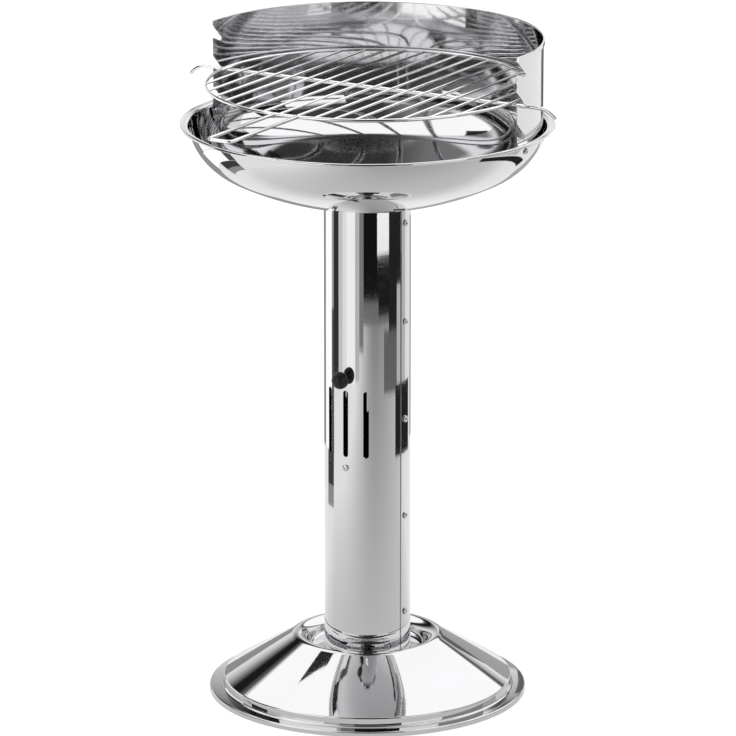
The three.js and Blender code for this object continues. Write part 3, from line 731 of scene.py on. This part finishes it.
def add_pair(screw, nut, size, point, direction, grip):
    """A screw with its seat on a point, and its nut at the other end of the grip."""
    add_fixing(screw, screw_data(size, grip), point, direction)
    add_fixing(nut, nut_data(size), Vector(point) - Vector(direction) * grip, direction)


def chord_drop(radius, half):
    return radius - math.sqrt(radius * radius - half * half)


LIP_INNER = COLUMN_RADIUS - 2 * COLUMN_SHEET - SEAT_GAP
SEAM_HEAD = COLUMN_RADIUS + SEAT_GAP
SEAM_NUT = LIP_INNER - chord_drop(LIP_INNER, SMALL["flat"] / 2) - SEAT_GAP
for side, sign in (("right", 1), ("left", -1)):
    for i in range(SEAM_COUNT):
        point = (sign * SEAM_HEAD, 0, SEAM_TOP - i * SEAM_PITCH)
        names = (f"seam_screw_{side}_{i + 1}", f"seam_nut_{side}_{i + 1}")
        add_pair(*names, SMALL, point, (sign, 0, 0), SEAM_HEAD - SEAM_NUT)

BASE_BOLT_Z = WELL_FLOOR - BASE_SHEET - SEAT_GAP
BASE_NUT_Z = COLUMN_BOTTOM + COLUMN_SHEET + SEAT_GAP
BOWL_BOLT_Z = BOWL_SEAT + BOWL_SHEET + SEAT_GAP
BOWL_NUT_Z = COLUMN_TOP - COLUMN_SHEET - SEAT_GAP
for i, angle in enumerate(TAB_ANGLES):
    spot = plan(TAB_BOLT_RADIUS, angle)
    add_pair(f"base_bolt_{i + 1}", f"base_nut_{i + 1}", LARGE, (*spot, BASE_BOLT_Z), (0, 0, -1),
             BASE_NUT_Z - BASE_BOLT_Z)
    add_pair(f"bowl_bolt_{i + 1}", f"bowl_nut_{i + 1}", LARGE, (*spot, BOWL_BOLT_Z), (0, 0, 1),
             BOWL_BOLT_Z - BOWL_NUT_Z)


# Damper

DAMPER_INNER = DAMPER_OUTER - DAMPER_SHEET
GUIDE_NUT = DAMPER_INNER - chord_drop(DAMPER_INNER, SMALL["flat"] / 2) - GUIDE_NUT_GAP
add_pair("damper_guide_screw", "damper_guide_nut", SMALL, (0, -SEAM_HEAD, GUIDE_HEIGHT), (0, -1, 0),
         SEAM_HEAD - GUIDE_NUT)

damper_reach = VENT_ANGLES[2] + DAMPER_TURN + (VENT_WIDTH / 2 + DAMPER_EDGE) / COLUMN_RADIUS
damper_angles = spread(-damper_reach, damper_reach, SHEET_FACET)
damper_size = (DAMPER_SHEET, GUIDE_HEIGHT - DAMPER_EDGE, KNOB_HEIGHT + DAMPER_EDGE)
plate = finish_mesh("damper_slide", *sheet_data(damper_angles, damper_radius, *damper_size))
cutters = [upright_slot(a) for a in VENT_ANGLES]
cutters.append(level_slot(GUIDE_SLOT_HALF, 0, DAMPER_TURN, GUIDE_HEIGHT))
true_round(carve(plate, cutters), radial_normal, COLUMN_MATCH)
dress(plate, "damper", ["damper_plate"], "polished_steel")

ball_z = KNOB_NECK + math.sqrt(KNOB_RADIUS ** 2 - KNOB_NECK_RADIUS ** 2)
ball_start = KNOB_NECK_BLEND - math.acos(KNOB_NECK_RADIUS / KNOB_RADIUS)
knob_profile = [
    (0, 0), (KNOB_NECK_RADIUS - KNOB_BEVEL, 0), (KNOB_NECK_RADIUS, KNOB_BEVEL),
    (KNOB_NECK_RADIUS, KNOB_NECK - KNOB_NECK_STEP),
    *arc(0, ball_z, KNOB_RADIUS, ball_start, math.pi / 2, 24)[:-1],
    (0, ball_z + KNOB_RADIUS),
]
knob = finish_mesh("knob", *spun_data(knob_profile, KNOB_FACETS), merge=False)
place(knob, (0, -KNOB_FOOT, KNOB_HEIGHT), (0, -1, 0))
dress(knob, "damper", ["damper_knob"], "black_plastic")

stud_seat = DAMPER_INNER - chord_drop(DAMPER_INNER, STUD_HEAD) - SEAT_GAP
stud_top = KNOB_FOOT + STUD_SINK - stud_seat
stud_profile = [
    (0, -STUD_RISE), (STUD_HEAD - STUD_BEVEL[0], -STUD_RISE),
    (STUD_HEAD, STUD_BEVEL[1] - STUD_RISE), (STUD_HEAD, 0),
    (STUD_RADIUS, 0), (STUD_RADIUS, stud_top), (0, stud_top),
]
stud = finish_mesh("damper_stud_look", *spun_data(stud_profile, STUD_FACETS), merge=False)
place(stud, (0, -stud_seat, KNOB_HEIGHT), (0, -1, 0))
dress(stud, "damper", ["damper_stud"], "zinc_steel")


# Bowl

KNUCKLE_START = math.atan2(KNUCKLE_Z - CROWN_Z, KNUCKLE_CENTRE)
FILLET_R = KNUCKLE_CENTRE + (KNUCKLE + RIM_FILLET) * math.cos(WALL_LEAN)
FILLET_Z = KNUCKLE_Z - (KNUCKLE + RIM_FILLET) * math.sin(WALL_LEAN)


def bowl_side(inset):
    """The outline of one side of the bowl's sheet, from the flue to the rim."""
    seat = BOWL_SEAT + inset
    crown = CROWN - inset
    start = -math.asin((CROWN_Z - seat) / crown)
    return [
        (FLUE_RADIUS, seat),
        *arc(0, CROWN_Z, crown, start, KNUCKLE_START, 24),
        *arc(KNUCKLE_CENTRE, KNUCKLE_Z, KNUCKLE - inset, KNUCKLE_START, -WALL_LEAN, 40)[1:],
        *arc(FILLET_R, FILLET_Z, RIM_FILLET + inset, math.pi - WALL_LEAN, math.pi / 2, 10)[1:],
    ]


bead_z = FILLET_Z + RIM_FILLET + BOWL_SHEET / 2
opening = math.asin(BOWL_SHEET / 2 / RIM_BEAD)
bead = arc(RIM_RADIUS - RIM_BEAD, bead_z, RIM_BEAD, opening - math.pi, math.pi - opening, 20)
bowl_profile = bowl_side(0) + bead + bowl_side(BOWL_SHEET)[::-1]
bowl = finish_mesh("dish", *lathe_data(bowl_profile, BOWL_FACETS), merge=False)
dress(bowl, "stand", ["bowl"], "polished_steel")


# Wind shield

def shield_profile():
    inner, hem = SHIELD_RADIUS - SHIELD_SHEET, SHIELD_RADIUS + HEM_FOLD
    low = SHIELD_TOP - HEM_HEIGHT
    crown = (hem - inner) / 2
    return [
        (inner, SHIELD_BOTTOM),
        (SHIELD_RADIUS, SHIELD_BOTTOM),
        (SHIELD_RADIUS, low - HEM_STEP),
        *arc(hem - HEM_CORNER, low + HEM_CORNER, HEM_CORNER, -math.pi / 2, 0, 5),
        *arc(inner + crown, SHIELD_TOP - crown, crown, 0, math.pi, 14),
    ]


def notch(tip):
    """Cutter for a sloping notch through both front edges."""
    run = GRATE_Y - SHIELD_FRONT + CUT_MARGIN
    lift = run * math.tan(NOTCH_SLOPE) - NOTCH_END / math.cos(NOTCH_SLOPE)
    outline = arc(GRATE_Y, tip, NOTCH_END, -math.pi / 2 - NOTCH_SLOPE, math.pi / 2, 12)
    outline += [(GRATE_Y - run, tip + lift + NOTCH_MOUTH), (GRATE_Y - run, tip + lift)]
    half = SHIELD_RADIUS + HEM_FOLD + CUT_MARGIN
    rings = [[(x, y, z) for y, z in outline] for x in (-half, half)]
    return finish_mesh("notch", *prism_data(*rings))


def tab_window(angle):
    """Cutter for the sheet behind a tab and its two slits."""
    low, outer = SHIELD_BOTTOM - CUT_MARGIN, SHIELD_RADIUS + CUT_MARGIN
    inner = SHIELD_RADIUS - SHIELD_SHEET - CUT_MARGIN
    half = SHIELD_TAB_HALF + SHIELD_SLIT / SHIELD_RADIUS
    profile = [(inner, low), (outer, low), (outer, TAB_ROOT_Z), (inner, TAB_ROOT_Z)]
    return finish_mesh("window", *lathe_data(profile, TAB_FACETS, angle - half, angle + half))


def shield_tab(angle):
    """A tab from its root in the sheet, bent out along the wall of the bowl."""
    centre = (KNUCKLE_CENTRE, KNUCKLE_Z)
    root_outer = SHIELD_RADIUS + TAB_JOIN
    root_inner = SHIELD_RADIUS - SHIELD_SHEET - TAB_JOIN
    profile = [
        *arc(*centre, TAB_OUTER, -SHIELD_TAB_FOOT, -SHIELD_TAB_BEND, 8),
        (root_outer, TAB_ROOT_Z),
        (root_outer, TAB_ROOT_Z + SHIELD_INSET),
        (root_inner, TAB_ROOT_Z + SHIELD_INSET),
        (root_inner, TAB_ROOT_Z - SHIELD_SHEET / 2),
        *arc(*centre, TAB_OUTER - SHIELD_SHEET, -SHIELD_TAB_BEND, -SHIELD_TAB_FOOT, 8),
    ]
    return lathe_data(profile, TAB_FACETS, angle - SHIELD_TAB_HALF, angle + SHIELD_TAB_HALF)


edge = math.acos(-SHIELD_FRONT / SHIELD_RADIUS)
shield_body = lathe_data(shield_profile(), SHIELD_FACETS, edge, 2 * math.pi - edge)
shield = finish_mesh("shield", *shield_body)
cutters = [notch(tip) for tip in NOTCH_TIPS] + [tab_window(a) for a in SHIELD_TABS.values()]
true_round(carve(shield, cutters), radial_normal, SHIELD_MATCH)
dress(shield, "stand", ["wind_shield"], "polished_steel", SHIELD_FINISH)

SCREW_OUT, SCREW_DOWN = math.cos(SHIELD_TAB_SCREW), math.sin(SHIELD_TAB_SCREW)
SCREW_REACH = KNUCKLE + SEAT_GAP
for side, angle in SHIELD_TABS.items():
    tab = finish_mesh(f"shield_tab_{side}", *shield_tab(angle))
    dress(tab, "stand", ["wind_shield"], "polished_steel", SHIELD_FINISH)
    spot = plan(KNUCKLE_CENTRE + SCREW_REACH * SCREW_OUT, angle)
    point = (*spot, KNUCKLE_Z - SCREW_REACH * SCREW_DOWN)
    direction = (*plan(SCREW_OUT, angle), -SCREW_DOWN)
    grip = SCREW_REACH - (TAB_OUTER - SHIELD_SHEET - SEAT_GAP)
    add_pair(f"shield_screw_{side}", f"shield_nut_{side}", SMALL, point, direction, grip)


# Grates

def ring_points(radius, y, z, steps):
    return [(x, depth, z) for x, depth in arc(0, y, radius, 0, 2 * math.pi, steps)[:-1]]


def rods(count, pitch, radius, wire, y, z):
    """Parallel wires whose ends lie in the wire of a ring."""
    parts = []
    for i in range(count):
        x = (i - (count - 1) / 2) * pitch
        half = math.sqrt(radius * radius - x * x) + wire * ROD_OVERLAP
        parts.append(tube_data([(x, y - half, z), (x, y + half, z)], wire))
    return parts


def rounded(points, radius):
    """Points of a path whose inner corners are rounded."""
    path = [Vector(points[0])]
    for before, corner, after in zip(points, points[1:], points[2:]):
        corner = Vector(corner)
        start = corner + (Vector(before) - corner).normalized() * radius
        end = corner + (Vector(after) - corner).normalized() * radius
        path += bend(start, corner, end, 10)
    return path + [Vector(points[-1])]


def bar_path():
    """The hanging bar from left to right, both ends bent down."""
    path = []
    for sign in (-1, 1):
        start = Vector((sign * (BAR_REACH - BAR_BEND), GRATE_Y, BAR_Z))
        corner = Vector((sign * (BAR_REACH - BAR_DROP), GRATE_Y, BAR_Z))
        tip = Vector((sign * BAR_REACH, GRATE_Y, BAR_Z - BAR_DROP))
        half = bend(start, corner, tip, 12)
        path += half[::-1] if sign < 0 else half
    return path


ring_z = BAR_Z + BAR_RADIUS + RING_WIRE - WELD_SINK
wire_z = BAR_Z + BAR_RADIUS + GRATE_WIRE - WELD_SINK
leg_y = GRATE_Y - math.sqrt(RING_RADIUS ** 2 - HANDLE_HALF ** 2)
handle_points = [(-HANDLE_HALF, leg_y, ring_z), (-HANDLE_HALF, -HANDLE_REACH, ring_z),
                 (HANDLE_HALF, -HANDLE_REACH, ring_z), (HANDLE_HALF, leg_y, ring_z)]
grate_parts = join_data(
    tube_data(ring_points(RING_RADIUS, GRATE_Y, ring_z, RING_FACETS), RING_WIRE, closed=True),
    *rods(GRATE_COUNT, GRATE_PITCH, RING_RADIUS, GRATE_WIRE, GRATE_Y, wire_z),
    tube_data(bar_path(), BAR_RADIUS),
    tube_data(rounded(handle_points, HANDLE_CORNER), RING_WIRE),
)
grate = finish_mesh("grate", *grate_parts, merge=False)
dress(grate, "cooking_grate", ["cooking_grate"], "chromed_wire")

ring_gap = CROWN - BOWL_SHEET - SEAT_GAP - RING_WIRE
coal_z = CROWN_Z - math.sqrt(ring_gap ** 2 - COAL_RING ** 2)
coal_wire_z = coal_z + RING_WIRE + COAL_WIRE - WELD_SINK
coal_parts = join_data(
    tube_data(ring_points(COAL_RING, 0, coal_z, COAL_FACETS), RING_WIRE, closed=True),
    *rods(COAL_COUNT, COAL_PITCH, COAL_RING, COAL_WIRE, 0, coal_wire_z),
)
coal = finish_mesh("coal_grate", *coal_parts, merge=False)
dress(coal, "charcoal_grate", ["charcoal_grate"], "grate_steel")

slots = {row["node"]: row["material_slot"] for row in frame["record"]["subparts"]}
for node, piece in frame["nodes"].items():
    piece.data.materials.clear()
    piece.data.materials.append(FINISHES[slots[node]])


# Camera

CAMERA_AZIMUTH = 30 * DEGREE
CAMERA_DISTANCE = 6.30
CAMERA_HEIGHT = 2.122
CAMERA_PITCH = 15.38 * DEGREE
CAMERA_CLIP = 100
FOCAL_PIXELS = 5619.9
SHIFT_PIXELS = 0.6
PICTURE_PIXELS = 736
SENSOR = 36.0

cam = bpy.data.cameras.new("camera")
cam.sensor_width = SENSOR
cam.lens = FOCAL_PIXELS / PICTURE_PIXELS * SENSOR
cam.clip_end = CAMERA_CLIP
cam.shift_x = SHIFT_PIXELS / PICTURE_PIXELS
camera = bpy.data.objects.new("camera", cam)
camera.location = (CAMERA_DISTANCE * math.sin(CAMERA_AZIMUTH),
                   AXIS_Y * MM - CAMERA_DISTANCE * math.cos(CAMERA_AZIMUTH), CAMERA_HEIGHT)
camera.rotation_euler = (math.pi / 2 - CAMERA_PITCH, 0, CAMERA_AZIMUTH)
bpy.context.scene.collection.objects.link(camera)
bpy.context.scene.camera = camera


# Studio. Its cards and patches show only in reflections. Azimuths are in degrees and count from
# the camera towards the right of the picture, distances and heights are in metres, and strength 1
# is white.

# Distance, lower and upper edge of the cards that the column sees but the sloping base doesn't
LIMB_NEAR = (1.05, 0, 0.2)
LIMB_FAR = (1.5, 0, 0.23)

# Pairs of such cards: name, first and last azimuth, strength
LIMBS = [
    ("limb_left", -180, -141, 0.34),
    ("left_white", -141, -107, 1.38),
]

# Upright cards: name, first and last azimuth, distance, lower and upper edge, strength
CARDS = [
    ("left_grey_near", -107, -98, *LIMB_NEAR, 0.1),
    ("left_grey_far", -107, -98, *LIMB_FAR, 0.42),
    ("card_left_dark", -99, -81, 1.42, 0, 1.2, 0.04),
    ("card_left_a", -81, -68, 1.41, 0, 1.2, 0.74),
    ("card_left_b", -68, -56, 1.42, 0, 1.2, 1.0),
    ("card_left_c", -56, -32, 1.43, 0, 1.2, 1.2),
    ("card_left_d", -32, -21, 1.44, 0, 1.2, 0.62),
    ("card_left_e", -21, -10, 1.60, 0, 1.2, 0.25),
    ("card_shield_dark", -84, -73.5, 1.40, 0.3, 1.2, 0.02),
    ("card_shield_white", -73.5, -24, 1.40, 0.3, 1.2, 1.3),
    ("card_front", -11, 30, 1.88, 0, 1.1, 0.008),
    ("card_front_high", -13, 17, 1.88, 1.1, 3.1, 0.05),
    ("card_front_white", 25.4, 58, 1.66, 0.128, 0.9, 1.2),
    ("card_front_low", 29, 64, 1.79, 0, 0.16, 0.01),
    ("card_right_dark", 58, 98, 1.70, 0, 0.2, 0.02),
    ("card_right_high", 58, 106, 1.71, 0.2, 0.9, 0.38),
    ("card_right_low", 83, 98, 1.25, 0, 0.185, 0.6),
    ("card_right_grey", 98, 117, 1.25, 0, 0.3, 0.6),
    ("card_limb_right", 117, 147, 1.10, 0, 0.31, 0.98),
    ("card_limb_edge", 147, 180, 1.09, 0, 0.31, 0.45),
    ("card_rear_line", 152, 170, 1.60, 0.22, 0.6, 0.15),
    ("card_seam", 78, 136, 1.04, 0, 0.1, 0.02),
    ("card_high_a", 66, 79, 1.5, 1.4, 2.25, 0.01),
    ("card_high_b", 79, 93, 1.5, 1.4, 1.98, 0.01),
]

# Patches on the floor: name, first and last azimuth, nearer and further edge, strength
PATCHES = [
    ("patch_front", -11, 64, 1.74, 1.88, 0.2),
    ("patch_right", 44, 108, 1.36, 1.70, 0.16),
    ("patch_left", -126, -99, 0.88, 1.04, 0.06),
    ("patch_left_fade", -126, -99, 0.78, 0.88, 0.35),
]
PATCH_HEIGHT = 0.003

# A level card overhead: name, first and last azimuth, two edges of (distance, height), strength
CEILING = ("card_ceiling", -140, -124, (0.75, 1.6), (1.12, 1.6), 0.03)

# Degrees that one facet of a card spans
CARD_FACET = 2

# The floor: what the eye sees, and a level for reflections, which rises with the distance to the
# left and the rear, falls with that to the front, and stays within limits
FLOOR_SIZE = 60
FLOOR_COLOUR = (0.8, 0.8, 0.8, 1)
FLOOR_GLOW = 0.42
FLOOR_LEVEL = 0.72
FLOOR_LEFT_AZIMUTH = -66
FLOOR_LEFT_SHARE = 0.48
FLOOR_REAR_SHARE = 0.85
FLOOR_REAR_MOST = 0.3
FLOOR_FRONT_SHARE = 0.25
FLOOR_LIMITS = {"Min": 0.3, "Max": 1.04}

# The sky in reflections, as greys by the height of the direction. The left ramp passes into the
# right one between the sides. To the front and high up the sky darkens, less so on the left.
WHITE = (1, 1, 1, 1)
SKY_LEFT = [(0.0, 0.75), (0.2, 0.68), (0.27, 0.52), (0.33, 0.3), (0.38, 0.12), (0.42, 0.01),
            (0.50, 0.01), (0.55, 0.12), (0.59, 1.0)]
SKY_RIGHT = [(0.0, 0.8), (0.27, 0.8), (0.35, 0.4), (0.37, 0.1), (0.40, 0.1), (0.42, 1.0)]
SKY_SIDES = (-0.1, 0.1)
SKY_STRENGTH = 1.35
SHADE_FRONT = (0.19, 0.25)
SHADE_HEIGHT = (0.58, 0.66)
SHADE_SIDE = (-0.15, -0.45)
SHADE_STRENGTH = (0.06, 0.3)


def card_direction(azimuth):
    """The plan direction of an azimuth in degrees from the camera."""
    return plan(1, CAMERA_AZIMUTH + azimuth * DEGREE)


def toward(n, where, azimuth):
    """How far a point or a direction lies towards an azimuth."""
    values = {0: where, 1: (*card_direction(azimuth), 0)}
    return n.add("ShaderNodeVectorMath", values, operation="DOT_PRODUCT").outputs["Value"]


def ramp(n, value, stops):
    """A colour ramp of greys."""
    node = n.add("ShaderNodeValToRGB", {0: value})
    band = node.color_ramp
    while len(band.elements) < len(stops):
        band.elements.new(0.5)
    for element, (position, grey) in zip(band.elements, stops):
        element.position = position
        element.color = (grey, grey, grey, 1)
    return node.outputs[0]


def floor_material():
    """Pale to the eye. Reflections see it brighter to the left and behind, darker in front."""
    material, n = node_material("floor")
    where = n.add("ShaderNodeTexCoord").outputs["Object"]
    left = n.maths("MAXIMUM", toward(n, where, FLOOR_LEFT_AZIMUTH), 0.0)
    left_part = n.maths("MULTIPLY", n.maths("MULTIPLY", left, left), FLOOR_LEFT_SHARE)
    rear = toward(n, where, 180)
    slope = n.maths("MAXIMUM", n.maths("MULTIPLY", rear, FLOOR_REAR_SHARE),
                    n.maths("MULTIPLY", rear, FLOOR_FRONT_SHARE))
    rear_part = n.maths("MINIMUM", slope, FLOOR_REAR_MOST)
    total = n.maths("ADD", n.maths("ADD", left_part, rear_part), FLOOR_LEVEL)
    level = n.add("ShaderNodeClamp", {"Value": total, **FLOOR_LIMITS}).outputs[0]
    diffuse = n.add("ShaderNodeBsdfDiffuse", {"Color": FLOOR_COLOUR})
    glow = n.add("ShaderNodeEmission", {"Strength": FLOOR_GLOW})
    plain = n.add("ShaderNodeAddShader", {0: diffuse.outputs[0], 1: glow.outputs[0]})
    n.surface(n.split(plain, n.add("ShaderNodeEmission", {"Strength": level})))
    return material


def glow_material(name, strength):
    material, n = node_material(name)
    n.surface(n.add("ShaderNodeEmission", {"Color": WHITE, "Strength": strength}))
    return material


def reflector(name, start, end, near, far, strength):
    """A curved strip that only reflections see, from one distance and height to another."""
    steps = max(2, int(abs(end - start) / CARD_FACET))
    verts, faces = [], []
    for i in range(steps + 1):
        x, y = card_direction(start + (end - start) * i / steps)
        for distance, z in (near, far):
            verts.append((x * distance, y * distance + AXIS_Y * MM, z))
    for i in range(steps):
        faces.append((2 * i, 2 * i + 1, 2 * i + 3, 2 * i + 2))
    mesh = bpy.data.meshes.new(name)
    mesh.from_pydata(verts, [], faces)
    mesh.materials.append(glow_material(name, strength))
    piece = bpy.data.objects.new(name, mesh)
    bpy.context.scene.collection.objects.link(piece)
    piece.visible_camera = False
    piece.visible_diffuse = False
    piece.visible_shadow = False


def card(name, start, end, distance, low, high, strength):
    reflector(name, start, end, (distance, low), (distance, high), strength)


def studio_world():
    """White to the eye. Reflections see a dark band, wide on the left and thin on the right."""
    world = bpy.data.worlds.new("studio")
    world.use_nodes = True
    n = Nodes(world.node_tree)
    where = n.add("ShaderNodeTexCoord").outputs["Generated"]
    height = n.add("ShaderNodeSeparateXYZ", {0: where}).outputs["Z"]
    right = toward(n, where, 90)
    sky = n.add("ShaderNodeMixRGB", {0: n.remap(right, SKY_SIDES), 1: ramp(n, height, SKY_LEFT),
                                     2: ramp(n, height, SKY_RIGHT)})
    shade = n.maths("MULTIPLY", n.remap(toward(n, where, 0), SHADE_FRONT),
                    n.remap(height, SHADE_HEIGHT))
    shaded = n.remap(right, SHADE_SIDE, SHADE_STRENGTH)
    strength = n.remap(shade, (0.0, 1.0), (SKY_STRENGTH, shaded))
    seen = n.add("ShaderNodeBackground", {"Color": sky.outputs[0], "Strength": strength})
    plain = n.add("ShaderNodeBackground", {"Color": WHITE, "Strength": 1.0})
    n.surface(n.split(plain, seen), "ShaderNodeOutputWorld")
    return world


bpy.ops.mesh.primitive_plane_add(size=FLOOR_SIZE, location=(0, AXIS_Y * MM, 0))
floor = bpy.context.object
floor.name = "floor"
floor.data.materials.append(floor_material())

for name, start, end, strength in LIMBS:
    card(name + "_near", start, end, *LIMB_NEAR, strength)
    card(name + "_far", start, end, *LIMB_FAR, strength)
for row in CARDS:
    card(*row)
for name, start, end, near, far, strength in PATCHES:
    reflector(name, start, end, (near, PATCH_HEIGHT), (far, PATCH_HEIGHT), strength)
reflector(*CEILING)

bpy.context.scene.world = studio_world()
bpy.context.scene.view_settings.view_transform = "Standard"

bpy.context.view_layer.update()
